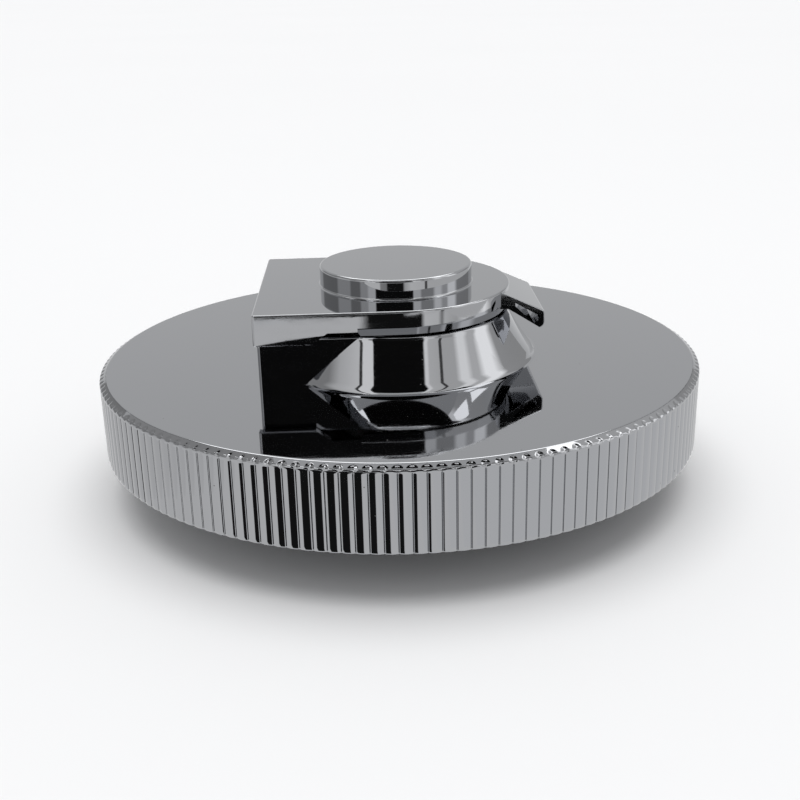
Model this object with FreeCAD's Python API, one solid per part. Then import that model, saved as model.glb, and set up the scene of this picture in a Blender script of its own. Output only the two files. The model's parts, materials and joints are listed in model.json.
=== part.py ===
"""Locking filler cap: a reeded shell, a boss with a flip lid over its lock, and a bayonet plug with two tongues.

Millimetres, +Z up. The cap's axis is Z, and Z = 0 is the lowest face of the plug, where the cap stands.
The lid's hinge is on the -X side of the boss and its thumb tab on the +X side.
"""

import math
import os

import FreeCAD
import Part

V = FreeCAD.Vector
X_AXIS = V(1, 0, 0)
Y_AXIS = V(0, 1, 0)
Z_AXIS = V(0, 0, 1)

# Levels, from the plug's lowest face upwards
plug_drop = 7.65
skirt_height = 11.7
plate_thick = 2.2
boss_height = 7.0
skirt_z = plug_drop
top_z = skirt_z + skirt_height
plate_z = top_z - plate_thick
boss_z = top_z + boss_height

# Shell
shell_r = 45.0
skirt_wall = 2.7
skirt_inner_r = shell_r - skirt_wall
reed_count = 160
reed_crown = 0.11
groove_width = 0.22
groove_depth = 0.31
reed_top_gap = 1.1
rim_slope_width = 1.3
rim_slope_height = 0.72
rim_edge_width = 0.2
rim_edge_height = 0.95
stiffener_count = 12
stiffener_thick = 1.2
stiffener_depth = 4.0
stiffener_inner_r = 36.0
stiffener_start = 15.0

# Boss: a cone on the axis and a hinge block beside it
cone_base_r = 20.5
cone_top_r = 16.6
cone_hollow = 0.2
block_left = -20.2
block_half = 15.5
block_corner_r = 0.6

# Lid
lid_top_z = top_z + 10.8
lid_under_z = boss_z + 0.35
lid_left = -20.6
lid_half = 17.0
lid_arc_x = -0.15
lid_wall = 1.2
lid_skin = 1.0
lid_edge_round = 0.25
dome_r = 11.2
dome_top_z = top_z + 13.75
dome_wall = 1.3
dome_skin = 1.1
dome_edge_round = 0.4
ear_bottom_z = top_z + 6.35
ear_right = -12.5
ear_chamfer_right = -10.3
ear_bevel = 0.4
notch_left = -10.4
notch_right = -6.1
notch_bevel = 0.4
notch_z = lid_under_z + 0.65

# Thumb tab: a hollow lip that slopes down from the lid's round end and curls back under itself
tab_half = 8.2
tab_root_x = 11.4
tab_start_x = 14.4
tab_end_x = 21.2
tab_end_z = top_z + 7.75
tab_low_z = top_z + 5.2
tab_curl = 0.9
tab_skin = 0.75
tab_wall_x = lid_arc_x + lid_half
tab_hollow_top_z = lid_top_z - 1.75
tab_hollow_low_z = lid_under_z + 1.2

# Hinge of the lid
hinge_x = -18.9
hinge_z = top_z + 8.05
pin_r = 0.8
knuckle_r = 1.4
knuckle_outer_y = 15.4
knuckle_inner_y = 6.0
running_gap = 0.05
lid_spring_wire_r = 0.3
lid_spring_r = 1.25
lid_spring_turns = 9
lid_spring_length = 2 * knuckle_inner_y - 2.0
lid_spring_leg = 5.5
lid_spring_drop = -0.35
lid_spring_rise = 1.1
spring_clearance = 0.35

# Lock
lock_r = 8.0
lock_head_r = 9.2
lock_head_z = top_z + 11.65
lock_edge_round = 0.4
lock_low_z = 9.2
lock_gasket_thick = 0.6
nut_flats = 20.0
nut_thick = 3.0
small_gap = 0.1
key_plug_r = 5.5
key_flange_r = 6.5
key_flange_thick = 1.1
keyway_width = 2.2
keyway_height = 8.4
keyway_low_z = 12.0
wafer_count = 6
wafer_first_z = 14.0
wafer_pitch = 2.4
wafer_thick = 0.9
wafer_width = 6.4
wafer_height = 8.8
wafer_window_half = 1.4
wafer_window_reach = 3.2
wafer_step = 0.3
wafer_steps = 3
wafer_pocket_depth = 1.1
wafer_pocket_half = 1.2
wafer_spring_r = 0.42
wafer_spring_gap = 0.08
wafer_spring_turns = 5
wafer_spring_wire_r = 0.12
wafer_spring_length = 2.0
tail_r = 4.2
tail_groove_r = 3.7
clip_r = 6.6
clip_z = 8.2
clip_thick = 0.6
clip_mouth_half = 2.0
tang_side = 5.0
tang_gap = 0.02

# Cam and tongues: the cam's spiral slots move the tongues evenly with the key
tongue_travel = 3.5
key_angle = math.pi / 2
tongue_pin_x = 9.5
tongue_pin_r = 1.2
tongue_tip_x = 29.4
tongue_root_x = 7.3
tongue_half = 5.0
tongue_z = 1.8
tongue_thick = 2.2
tongue_tip_round = 1.5
recess_start_x = 14.0
recess_end_x = 22.0
recess_half = 2.0
recess_depth = 1.0
guide_gap = 0.25
guide_thick = 1.5
guide_start_x = 12.5
guide_end_x = 22.9
guide_height = 2.4
window_start_x = 12.0
window_gap = 0.15
cam_r = 11.7
cam_z = 4.3
cam_thick = 2.0
cam_slot_steps = 8
cam_screw_head_r = 3.2
cam_screw_r = 1.1
cam_screw_length = 4.0

# Neck plug
plug_r = 26.0
plug_wall = 2.0
floor_thick = 1.6
floor_edge_round = 0.8
web_z = 6.8
web_thick = 2.0
web_hole_r = 9.5
flange_r = 35.0
flange_z = 15.0
lug_r = 29.2
lug_half_angle = 16.0
lug_height = 2.6
lug_slope = 9.0
gasket_inner_r = 26.15
gasket_outer_r = 33.5
gasket_thick = 2.6
gasket_edge_round = 0.4

# Screws
post_r = 3.0
post_places = [(9.5, 16.45), (-9.5, 16.45), (-9.5, -16.45), (9.5, -16.45)]
post_screw_r = 1.25
post_screw_top_z = 15.0
boss_screw_places = [(15.8, 0.0), (-15.0, 9.0), (-15.0, -9.0)]
boss_screw_r = 1.4
boss_screw_top_z = 24.0
floor_post_r = 2.6
floor_screw_places = [(16.5, 12.9), (-16.5, 12.9), (-16.5, -12.9), (16.5, -12.9)]
floor_screw_r = 1.1
floor_screw_top_z = 6.0
floor_screw_low_z = 0.1
floor_screw_drive_z = 0.6
floor_sink_z = floor_thick / 2
floor_sink_gap = 0.2
screw_head_r = 2.4
screw_head_height = 1.6
screw_head_round = 0.4
screw_drive_r = 0.9
screw_drive_depth = 0.9

# Vent valve
vent_y = -15.5
vent_tube_r = 4.6
vent_tube_inner_r = 3.8
vent_tube_top_z = 14.0
vent_hole_r = 1.6
vent_disc_r = 3.4
vent_disc_thick = 1.0
vent_seal_thick = 0.6
vent_seal_inner_r = 1.8
vent_seal_outer_r = 3.3
vent_stem_r = 1.0
vent_stem_top_z = 12.5
vent_stem_gap = 0.3
vent_spring_wire_r = 0.3
vent_spring_r = 2.2
vent_spring_turns = 4
vent_cap_thick = 0.8
vent_cap_hole_r = 0.5
vent_cap_hole_place_r = 2.9
vent_cap_hole_count = 4

# Working values: how far fused bodies overlap, how far a cut runs past a face, and how near counts as the same
overlap = 0.5
past = 1.0
near = 0.01


def cylinder(r, z0, z1, x=0.0, y=0.0):
    """Round bar along Z."""
    return Part.makeCylinder(r, z1 - z0, V(x, y, z0))


def tube(r_in, r_out, z0, z1, x=0.0, y=0.0):
    """Ring along Z."""
    return cylinder(r_out, z0, z1, x, y).cut(cylinder(r_in, z0 - past, z1 + past, x, y))


def y_bar(r, x, z, y0, y1):
    """Round bar along Y."""
    return Part.makeCylinder(r, y1 - y0, V(x, y0, z), Y_AXIS)


def box(x0, x1, y0, y1, z0, z1):
    """Box between two corners."""
    return Part.makeBox(x1 - x0, y1 - y0, z1 - z0, V(x0, y0, z0))


def side_prism(points, y0, y1):
    """Prism along Y from a list of (x, z) corners."""
    corners = [V(x, y0, z) for x, z in points]
    face = Part.Face(Part.makePolygon(corners + corners[:1]))
    return face.extrude(V(0, y1 - y0, 0))


def turned(shape, angle):
    """Copy of a shape, turned about the cap's axis, in degrees."""
    copy = shape.copy()
    copy.rotate(V(0, 0, 0), Z_AXIS, angle)
    return copy


def polar(r, angle, z):
    """Point at a radius and an angle in radians."""
    return V(r * math.cos(angle), r * math.sin(angle), z)


def revolve(edges):
    """Full turn of a closed outline in the XZ plane."""
    return Part.Face(Part.Wire(edges)).revolve(V(0, 0, 0), Z_AXIS, 360)


def polyline(points):
    """Straight edges through a list of points."""
    return [Part.makeLine(a, b) for a, b in zip(points, points[1:])]


def coil(wire_r, coil_r, length, turns):
    """Coil spring along Z that starts at Z = 0 on the +X side."""
    line = Part.makeHelix(length / turns, length, coil_r)
    section = Part.Wire(Part.makeCircle(wire_r, V(coil_r, 0, 0), Y_AXIS))
    return Part.Wire(line).makePipeShell([section], True, True)


def screw(x, y, head_z, end_z, r):
    """Screw driven upwards: a head with a socket, hanging below head_z, and a plain shank above it."""
    head = cylinder(screw_head_r, head_z - screw_head_height, head_z, x, y)
    low = head_z - screw_head_height
    low_edges = [e for e in head.Edges if e.BoundBox.ZMax < low + near]
    head = head.makeFillet(screw_head_round, low_edges)
    socket = cylinder(screw_drive_r, low - past, low + screw_drive_depth, x, y)
    shank = cylinder(r, head_z - overlap, end_z, x, y)
    return head.cut(socket).fuse(shank).removeSplitter()


def group(shapes):
    """Separate solids kept together in one node."""
    return Part.makeCompound(shapes)


def reeded_ring():
    """Skirt wall with crowned reeds and a narrow groove between each two."""
    pitch = 2 * math.pi / reed_count
    half = groove_width / 2 / shell_r
    edge_r = shell_r - reed_crown
    edges = []
    for i in range(reed_count):
        a = i * pitch
        start = polar(edge_r, a - half, skirt_z)
        bottom = polar(shell_r - groove_depth, a, skirt_z)
        end = polar(edge_r, a + half, skirt_z)
        crest = polar(shell_r, a + pitch / 2, skirt_z)
        following = polar(edge_r, a + pitch - half, skirt_z)
        edges.append(Part.Arc(start, bottom, end).toShape())
        edges.append(Part.Arc(end, crest, following).toShape())
    outline = Part.Wire(Part.__sortEdges__(edges))
    height = skirt_height - reed_top_gap
    solid = Part.Face(outline).extrude(V(0, 0, height))
    return solid.cut(cylinder(skirt_inner_r, skirt_z - past, top_z))


def shell_plate():
    """Flat top of the shell and its sloping rim."""
    reed_top_z = top_z - reed_top_gap
    points = [
        V(0, 0, top_z),
        V(0, 0, plate_z),
        V(skirt_inner_r, 0, plate_z),
        V(skirt_inner_r, 0, reed_top_z),
        V(shell_r, 0, reed_top_z),
        V(shell_r, 0, top_z - rim_edge_height),
        V(shell_r - rim_edge_width, 0, top_z - rim_slope_height),
        V(shell_r - rim_slope_width, 0, top_z),
        V(0, 0, top_z),
    ]
    return revolve(polyline(points))


def cap_shell():
    shell = shell_plate().fuse(reeded_ring())
    stiffener = box(
        stiffener_inner_r,
        skirt_inner_r + overlap,
        -stiffener_thick / 2,
        stiffener_thick / 2,
        plate_z - stiffener_depth,
        plate_z + overlap,
    )
    added = [turned(stiffener, stiffener_start + i * 360 / stiffener_count) for i in range(stiffener_count)]
    for x, y in post_places:
        added.append(cylinder(post_r, web_z + web_thick, plate_z + overlap, x, y))
    shell = shell.fuse(added)
    holes = [cylinder(lock_r, plate_z - past, top_z + past)]
    for x, y in boss_screw_places:
        holes.append(cylinder(boss_screw_r, plate_z - past, top_z + past, x, y))
    for x, y in post_places:
        holes.append(cylinder(post_screw_r, web_z, post_screw_top_z, x, y))
    return shell.cut(holes).removeSplitter()


def boss_cone():
    """Cone with a slightly hollow flank."""
    base = V(cone_base_r, 0, top_z)
    middle_r = (cone_base_r + cone_top_r) / 2 - cone_hollow
    middle = V(middle_r, 0, top_z + boss_height / 2)
    top = V(cone_top_r, 0, boss_z)
    edges = polyline([top, V(0, 0, boss_z), V(0, 0, top_z), base])
    edges.append(Part.Arc(base, middle, top).toShape())
    return revolve(edges)


def boss_block():
    """Hinge block with rounded outer corners."""
    block = box(block_left, 0, -block_half, block_half, top_z, boss_z)
    corners = []
    for edge in block.Edges:
        bounds = edge.BoundBox
        if bounds.XMax < block_left + near and bounds.ZLength > boss_height / 2:
            corners.append(edge)
    return block.makeFillet(block_corner_r, corners)


def lock_boss():
    boss = boss_cone().fuse(boss_block())
    foot = hinge_z - boss_z + overlap
    for side in (-1, 1):
        y0 = min(side * knuckle_inner_y, side * knuckle_outer_y)
        y1 = max(side * knuckle_inner_y, side * knuckle_outer_y)
        barrel = y_bar(knuckle_r, hinge_x, hinge_z, y0, y1)
        web = box(
            hinge_x - knuckle_r / 2,
            hinge_x + knuckle_r,
            y0,
            y1,
            hinge_z - foot,
            hinge_z,
        )
        boss = boss.fuse([barrel, web])
    spring_room = lid_spring_r + lid_spring_wire_r + spring_clearance
    cuts = [
        y_bar(spring_room, hinge_x, hinge_z, -knuckle_inner_y, knuckle_inner_y),
        y_bar(pin_r, hinge_x, hinge_z, -knuckle_outer_y - past, knuckle_outer_y + past),
        cylinder(lock_r, top_z - past, boss_z + past),
    ]
    for x, y in boss_screw_places:
        cuts.append(cylinder(boss_screw_r, top_z - past, boss_screw_top_z, x, y))
    return boss.cut(cuts).removeSplitter()


def lid_outline(inset, left, z0, z1):
    """Prism of the lid's outline: straight sides, and a round end about the cap's axis."""
    half = lid_half - inset
    a = V(left, -half, z0)
    b = V(lid_arc_x, -half, z0)
    middle = V(lid_arc_x + half, 0, z0)
    c = V(lid_arc_x, half, z0)
    d = V(left, half, z0)
    edges = [
        Part.makeLine(a, b),
        Part.Arc(b, middle, c).toShape(),
        Part.makeLine(c, d),
        Part.makeLine(d, a),
    ]
    return Part.Face(Part.Wire(edges)).extrude(V(0, 0, z1 - z0))


def rounded_top(shape, z, r):
    """Rounds the edges that lie in the plane at height z."""
    edges = [e for e in shape.Edges if e.BoundBox.ZMin > z - near]
    return shape.makeFillet(r, edges)


def thumb_tab():
    """Lip on the lid's round end, open at both sides."""
    outer = [
        (tab_root_x, lid_top_z),
        (tab_start_x, lid_top_z),
        (tab_end_x, tab_end_z),
        (tab_end_x, tab_low_z + tab_curl),
        (tab_end_x - tab_curl, tab_low_z),
        (tab_wall_x - lid_wall, lid_under_z + tab_curl),
        (tab_root_x, lid_under_z + tab_curl),
    ]
    hollow = [
        (tab_wall_x, tab_hollow_top_z),
        (tab_end_x - tab_skin, tab_end_z - tab_skin),
        (tab_end_x - tab_skin, tab_low_z + tab_curl + tab_skin / 2),
        (tab_end_x - tab_curl - tab_skin, tab_low_z + tab_skin),
        (tab_wall_x, tab_hollow_low_z),
    ]
    tab = side_prism(outer, -tab_half, tab_half)
    return tab.cut(side_prism(hollow, -tab_half - past, tab_half + past))


def flip_lid():
    plate = rounded_top(
        lid_outline(0, lid_left, lid_under_z, lid_top_z), lid_top_z, lid_edge_round
    )
    dome = rounded_top(
        cylinder(dome_r, lid_top_z - lid_skin, dome_top_z), dome_top_z, dome_edge_round
    )
    cavity = lid_outline(lid_wall, lid_left - past, ear_bottom_z - past, lid_top_z - lid_skin)
    pocket = cylinder(dome_r - dome_wall, ear_bottom_z - past, dome_top_z - dome_skin)
    ear = [
        (lid_left, lid_under_z + overlap),
        (lid_left, ear_bottom_z + ear_bevel),
        (lid_left + ear_bevel, ear_bottom_z),
        (ear_right, ear_bottom_z),
        (ear_chamfer_right, notch_z),
        (ear_chamfer_right, notch_z + overlap),
        (lid_left + overlap, notch_z + overlap),
    ]
    notch = [
        (notch_left, lid_under_z - past),
        (notch_left, notch_z),
        (notch_right, notch_z),
        (notch_right + notch_bevel, lid_under_z),
        (notch_right + notch_bevel, lid_under_z - past),
    ]
    lid = plate.fuse([dome, thumb_tab()]).cut([cavity, pocket])
    for side in (-1, 1):
        y0 = min(side * (lid_half - lid_wall), side * lid_half)
        y1 = max(side * (lid_half - lid_wall), side * lid_half)
        lid = lid.cut(side_prism(notch, y0 - near, y1 + near))
        lid = lid.fuse(side_prism(ear, y0, y1))
    blind_end = -lid_half + lid_wall / 3
    bore = y_bar(pin_r + running_gap, hinge_x, hinge_z, blind_end, lid_half + past)
    return lid.cut(bore).removeSplitter()


def hinge_pin():
    """Pin with one end sunk in the front ear and the other a little inside the back ear."""
    return y_bar(pin_r, hinge_x, hinge_z, -lid_half + lid_wall / 2, lid_half - small_gap)


def lid_spring():
    """Torsion spring round the hinge pin, with one leg on the boss and one under the lid."""
    spring = coil(lid_spring_wire_r, lid_spring_r, lid_spring_length, lid_spring_turns)
    spring.rotate(V(0, 0, 0), X_AXIS, -90)
    end_y = lid_spring_length / 2
    spring.translate(V(hinge_x, -end_y, hinge_z))
    legs = []
    for y, rise in ((-end_y, lid_spring_drop), (end_y, lid_spring_rise)):
        start = V(hinge_x + lid_spring_r, y, hinge_z)
        way = V(lid_spring_leg, 0, rise)
        legs.append(Part.makeCylinder(lid_spring_wire_r, way.Length, start, way))
    return spring.fuse(legs)


def lock_body():
    """Barrel of the lock, with a head that stands in the lid's dome."""
    head_low = boss_z + lock_gasket_thick
    head = cylinder(lock_head_r, head_low, lock_head_z)
    head = rounded_top(head, lock_head_z, lock_edge_round)
    body = head.fuse(cylinder(lock_r, lock_low_z, head_low + overlap))
    seat_z = lock_head_z - key_flange_thick - 2 * running_gap
    bore = cylinder(key_plug_r + running_gap, lock_low_z - past, lock_head_z + past)
    seat = cylinder(key_flange_r + running_gap, seat_z, lock_head_z + past)
    return body.cut([bore, seat]).removeSplitter()


def lock_gasket():
    return tube(lock_r, lock_head_r, boss_z, boss_z + lock_gasket_thick)


def lock_nut():
    """Hexagon nut that clamps the boss and the shell under the lock's head."""
    corner_r = nut_flats / math.sqrt(3)
    corners = [polar(corner_r, i * math.pi / 3, plate_z - nut_thick) for i in range(6)]
    corners.append(corners[0])
    blank = Part.Face(Part.makePolygon(corners)).extrude(V(0, 0, nut_thick))
    return blank.cut(cylinder(lock_r, plate_z - nut_thick - past, plate_z + past))


def wafer_levels():
    return [wafer_first_z + i * wafer_pitch for i in range(wafer_count)]


def key_plug():
    """Turning part of the lock, with its keyway, its wafer slots and its tail."""
    top = lock_head_z - running_gap
    clip_top = clip_z + clip_thick
    cam_top = cam_z + cam_thick
    plug = cylinder(key_plug_r, clip_top + small_gap, top)
    flange = cylinder(key_flange_r, top - key_flange_thick, top)
    tail = cylinder(tail_r, cam_top + small_gap, clip_top + overlap)
    tail = tail.cut(tube(tail_groove_r, tail_r + past, clip_z, clip_top))
    side = tang_side / 2
    tang = box(-side, side, -side, side, cam_z, cam_top + overlap)
    plug = plug.fuse([flange, tail, tang])
    way = box(
        -keyway_width / 2,
        keyway_width / 2,
        -keyway_height / 2,
        keyway_height / 2,
        keyway_low_z,
        top + past,
    )
    cuts = [way, cylinder(cam_screw_r, cam_z - past, cam_z + cam_screw_length + overlap)]
    half = wafer_width / 2 + running_gap
    for z in wafer_levels():
        slot_top = z + wafer_thick + 2 * running_gap
        cuts.append(box(-half, half, -key_plug_r, key_plug_r, z, slot_top))
    return plug.cut(cuts).removeSplitter()


def wafers():
    """Thin plates with a window for the key, each pushed to one side by its spring."""
    half_w = wafer_width / 2
    half_h = wafer_height / 2
    reach = wafer_window_reach
    made = []
    for i, z in enumerate(wafer_levels()):
        z0 = z + running_gap
        z1 = z0 + wafer_thick
        plate = box(-half_w, half_w, -half_h, half_h, z0, z1)
        shift = wafer_step * (i % wafer_steps - 1)
        window = box(
            -wafer_window_half,
            wafer_window_half,
            shift - reach,
            shift + reach,
            z0 - past,
            z1 + past,
        )
        pocket = box(
            -half_w - past,
            -half_w + wafer_pocket_depth,
            -wafer_pocket_half,
            wafer_pocket_half,
            z0 - past,
            z1 + past,
        )
        made.append(plate.cut([window, pocket]))
    return group(made)


def wafer_springs():
    """Small compression springs in the side pockets of the wafers."""
    coil_r = wafer_spring_r - wafer_spring_wire_r
    x = -wafer_width / 2 + wafer_spring_r + wafer_spring_gap
    made = []
    for z in wafer_levels():
        spring = coil(wafer_spring_wire_r, coil_r, wafer_spring_length, wafer_spring_turns)
        spring.rotate(V(0, 0, 0), X_AXIS, -90)
        spring.translate(V(x, -wafer_spring_length / 2, z + running_gap + wafer_thick / 2))
        made.append(spring)
    return group(made)


def retaining_clip():
    """Open ring that snaps into the groove of the key plug's tail, below the lock body."""
    ring = tube(tail_groove_r, clip_r, clip_z, clip_z + clip_thick)
    mouth = box(
        0,
        clip_r + past,
        -clip_mouth_half,
        clip_mouth_half,
        clip_z - past,
        clip_z + clip_thick + past,
    )
    return ring.cut(mouth)


def slot_rail(offset):
    """One side of the spiral slot, and its first and last points."""
    pull = tongue_travel / key_angle
    points = []
    for i in range(cam_slot_steps + 1):
        back = key_angle * i / cam_slot_steps
        points.append(polar(tongue_pin_x - pull * back + offset, -back, cam_z - past))
    curve = Part.BSplineCurve()
    curve.interpolate(points)
    return curve.toShape(), points[0], points[-1]


def spiral_slot():
    """Slot whose radius shrinks evenly as the cam turns, wide enough for a tongue's pin."""
    last_r = tongue_pin_x - tongue_travel
    steepest = math.atan(tongue_travel / key_angle / last_r)
    half = (tongue_pin_r + running_gap) / math.cos(steepest)
    outer, outer_start, outer_end = slot_rail(half)
    inner, inner_start, inner_end = slot_rail(-half)
    edges = [
        outer,
        Part.makeLine(outer_end, inner_end),
        inner,
        Part.makeLine(inner_start, outer_start),
    ]
    slot = Part.Face(Part.Wire(Part.__sortEdges__(edges))).extrude(V(0, 0, cam_thick + 2 * past))
    cut_z = (cam_z - past, cam_z + cam_thick + past)
    ends = [cylinder(half, *cut_z, tongue_pin_x, 0), cylinder(half, *cut_z, 0, -last_r)]
    return slot.fuse(ends)


def cam_disc():
    """Disc on the key plug's tang, with one spiral slot for each tongue."""
    side = tang_side / 2 + tang_gap
    slot = spiral_slot()
    disc = cylinder(cam_r, cam_z, cam_z + cam_thick)
    square = box(-side, side, -side, side, cam_z - past, cam_z + cam_thick + past)
    return disc.cut([slot, turned(slot, 180), square])


def cam_screw():
    """Screw that holds the cam disc on the tang."""
    head_low = cam_z - screw_head_height
    head = cylinder(cam_screw_head_r, head_low, cam_z)
    socket = cylinder(screw_drive_r, head_low - past, head_low + screw_drive_depth)
    shank = cylinder(cam_screw_r, cam_z - overlap, cam_z + cam_screw_length)
    return head.cut(socket).fuse(shank).removeSplitter()


def tongue():
    """Right-hand locking tongue at rest, out of the plug's wall, with the pin that the cam drives."""
    top = tongue_z + tongue_thick
    bar = box(tongue_root_x, tongue_tip_x, -tongue_half, tongue_half, tongue_z, top)
    tip_edges = []
    for edge in bar.Edges:
        bounds = edge.BoundBox
        if bounds.XMin > tongue_tip_x - near and bounds.ZLength > tongue_thick / 2:
            tip_edges.append(edge)
    bar = bar.makeFillet(tongue_tip_round, tip_edges)
    pin_top = cam_z + cam_thick - small_gap
    pin = cylinder(tongue_pin_r, tongue_z + overlap, pin_top, tongue_pin_x, 0)
    recess = box(
        recess_start_x, recess_end_x, -recess_half, recess_half, top - recess_depth, top + past
    )
    return bar.cut(recess).fuse(pin).removeSplitter()


def floor_plate():
    """Lowest plate of the plug, with the ribs that guide the tongues."""
    plate = cylinder(plug_r, 0, floor_thick)
    low_edges = [e for e in plate.Edges if e.BoundBox.ZMax < near]
    plate = plate.makeFillet(floor_edge_round, low_edges)
    rib_y = tongue_half + guide_gap
    rib_z = (floor_thick - overlap, floor_thick + guide_height)
    added = []
    for side in (0, 180):
        for y in (rib_y, -rib_y - guide_thick):
            rib = box(guide_start_x, guide_end_x, y, y + guide_thick, *rib_z)
            added.append(turned(rib, side))
    plate = plate.fuse(added)
    cuts = [cylinder(vent_hole_r, -past, floor_thick + past, 0, vent_y)]
    for x, y in floor_screw_places:
        cuts.append(cylinder(floor_screw_r, -past, floor_thick + past, x, y))
        cuts.append(cylinder(screw_head_r + floor_sink_gap, -past, floor_sink_z, x, y))
    return plate.cut(cuts).removeSplitter()


def floor_screws():
    """Flat screws that hold the floor plate, with their heads sunk in it."""
    made = []
    for x, y in floor_screw_places:
        head = cylinder(screw_head_r, floor_screw_low_z, floor_sink_z, x, y)
        socket = cylinder(screw_drive_r, -past, floor_screw_drive_z, x, y)
        shank = cylinder(floor_screw_r, floor_screw_drive_z + small_gap, floor_screw_top_z, x, y)
        made.append(head.cut(socket).fuse(shank).removeSplitter())
    return group(made)


def bayonet_lug():
    """Sector of a ring on the plug's wall, centred on +X, with a sloping top."""
    z0 = floor_thick
    z1 = floor_thick + lug_height
    ring = tube(plug_r - overlap, lug_r, z0, z1)
    reach = 2 * lug_r
    half = math.radians(lug_half_angle)
    corners = [
        V(0, 0, z0 - past),
        polar(reach, -half, z0 - past),
        polar(reach, half, z0 - past),
        V(0, 0, z0 - past),
    ]
    wedge = Part.Face(Part.makePolygon(corners)).extrude(V(0, 0, lug_height + 2 * past))
    ramp = box(0, lug_r + past, -past, lug_r, z1, z1 + lug_height)
    ramp.rotate(V(plug_r, 0, z1), X_AXIS, -lug_slope)
    return ring.common(wedge).cut(ramp)


def neck_plug():
    """Cup that enters the filler neck, with its flange, web, bayonet lugs and vent tube."""
    plug = tube(plug_r - plug_wall, plug_r, floor_thick, plate_z)
    web = tube(web_hole_r, plug_r - plug_wall + overlap, web_z, web_z + web_thick)
    flange = tube(plug_r - plug_wall, flange_r, flange_z, plate_z)
    added = [web, flange, turned(bayonet_lug(), 90), turned(bayonet_lug(), 270)]
    for x, y in floor_screw_places:
        added.append(cylinder(floor_post_r, floor_thick, web_z + overlap, x, y))
    added.append(cylinder(vent_tube_r, web_z + web_thick - overlap, vent_tube_top_z, 0, vent_y))
    plug = plug.fuse(added)
    cuts = [
        cylinder(vent_tube_inner_r, web_z + web_thick, vent_tube_top_z + past, 0, vent_y),
        cylinder(vent_hole_r, web_z - past, web_z + web_thick + past, 0, vent_y),
    ]
    for x, y in post_places:
        cuts.append(cylinder(post_screw_r, web_z - past, web_z + web_thick + past, x, y))
    for x, y in floor_screw_places:
        cuts.append(cylinder(floor_screw_r, floor_thick - past, floor_screw_top_z, x, y))
    reach = plug_r + past
    half = tongue_half + window_gap
    top = tongue_z + tongue_thick + window_gap
    for x0, x1 in ((window_start_x, reach), (-reach, -window_start_x)):
        cuts.append(box(x0, x1, -half, half, floor_thick - past, top))
    return plug.cut(cuts).removeSplitter()


def main_gasket():
    """Flat ring with a rounded lower face, which seals on the neck's rim."""
    ring = tube(gasket_inner_r, gasket_outer_r, flange_z - gasket_thick, flange_z)
    low_edges = [e for e in ring.Edges if e.BoundBox.ZMax < flange_z - near]
    return ring.makeFillet(gasket_edge_round, low_edges)


def post_screws():
    return group([screw(x, y, web_z, post_screw_top_z, post_screw_r) for x, y in post_places])


def boss_screws():
    made = [screw(x, y, plate_z, boss_screw_top_z, boss_screw_r) for x, y in boss_screw_places]
    return group(made)


def vent_levels():
    seat = web_z + web_thick
    disc = seat + vent_seal_thick
    spring = disc + vent_disc_thick
    return seat, disc, spring


def vent_seal():
    seat, disc, _ = vent_levels()
    return tube(vent_seal_inner_r, vent_seal_outer_r, seat, disc, 0, vent_y)


def vent_disc():
    _, disc, spring = vent_levels()
    plate = cylinder(vent_disc_r, disc, spring, 0, vent_y)
    stem = cylinder(vent_stem_r, spring - overlap, vent_stem_top_z, 0, vent_y)
    return plate.fuse(stem).removeSplitter()


def vent_spring():
    _, _, low = vent_levels()
    length = vent_tube_top_z - low - 2 * vent_spring_wire_r
    spring = coil(vent_spring_wire_r, vent_spring_r, length, vent_spring_turns)
    spring.translate(V(0, vent_y, low + vent_spring_wire_r))
    return spring


def vent_cap():
    """Cap pressed on the vent tube, with the hole that guides the valve's stem."""
    z0 = vent_tube_top_z
    z1 = z0 + vent_cap_thick
    cap = tube(vent_stem_r + vent_stem_gap, vent_tube_r, z0, z1, 0, vent_y)
    holes = []
    for i in range(vent_cap_hole_count):
        place = polar(vent_cap_hole_place_r, (i + 0.5) * 2 * math.pi / vent_cap_hole_count, 0)
        holes.append(cylinder(vent_cap_hole_r, z0 - past, z1 + past, place.x, vent_y + place.y))
    return cap.cut(holes)


PARTS = {
    "cap_shell": cap_shell,
    "lock_boss": lock_boss,
    "flip_lid": flip_lid,
    "hinge_pin": hinge_pin,
    "lid_spring": lid_spring,
    "lock_body": lock_body,
    "lock_gasket": lock_gasket,
    "lock_nut": lock_nut,
    "key_plug": key_plug,
    "wafers": wafers,
    "wafer_springs": wafer_springs,
    "retaining_clip": retaining_clip,
    "cam_disc": cam_disc,
    "cam_screw": cam_screw,
    "tongue_right": tongue,
    "tongue_left": lambda: turned(tongue(), 180),
    "neck_plug": neck_plug,
    "floor_plate": floor_plate,
    "floor_screws": floor_screws,
    "post_screws": post_screws,
    "boss_screws": boss_screws,
    "main_gasket": main_gasket,
    "vent_seal": vent_seal,
    "vent_disc": vent_disc,
    "vent_spring": vent_spring,
    "vent_cap": vent_cap,
}


def main():
    os.makedirs("parts", exist_ok=True)
    for name, make in PARTS.items():
        shape = make()
        if not shape.isValid():
            raise ValueError(f"{name} is not a valid shape")
        shape.exportStep(f"parts/{name}.step")
        print(f"{name}: {len(shape.Solids)} solid(s), {shape.Volume:.1f} mm3")


main()
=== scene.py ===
import json
import math

import bmesh
import bpy
from mathutils import Matrix, Vector


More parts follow.
